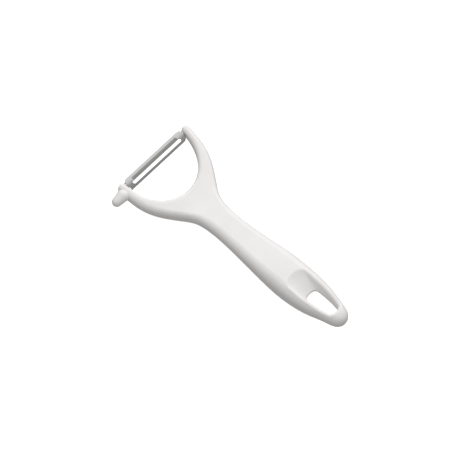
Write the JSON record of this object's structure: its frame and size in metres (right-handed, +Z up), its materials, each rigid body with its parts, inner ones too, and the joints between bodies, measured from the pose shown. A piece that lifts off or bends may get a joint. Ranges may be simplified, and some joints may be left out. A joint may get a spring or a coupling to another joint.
{
  "type": "vegetable peeler",
  "caption": "Y-shaped vegetable peeler: moulded handle with a forked head, hanging hole and eye remover, and a slotted swivel blade between the arms.",
  "frame": {"origin": "on the table, under the middle of the flat land of the handle's underside", "axes": "+X along the handle towards the blade, +Y towards the arm with the eye remover, +Z up from the table"},
  "size_m": [0.1674, 0.0715, 0.0181],
  "materials": {
    "handle_plastic": "white moulded plastic, satin gloss",
    "blade_steel": "rolled stainless steel sheet with a ground cutting edge"
  },
  "bodies": {
    "handle": {"handle_body": "handle_plastic"},
    "swivel_blade": {"blade": "blade_steel"}
  },
  "joints": [
    {"name": "blade_swivel", "type": "hinge", "parent": "handle", "child": "swivel_blade", "pos_m": [0.076, 0, 0.011], "axis": [0, 1, 0], "range_deg": [-38, 38]}
  ]
}
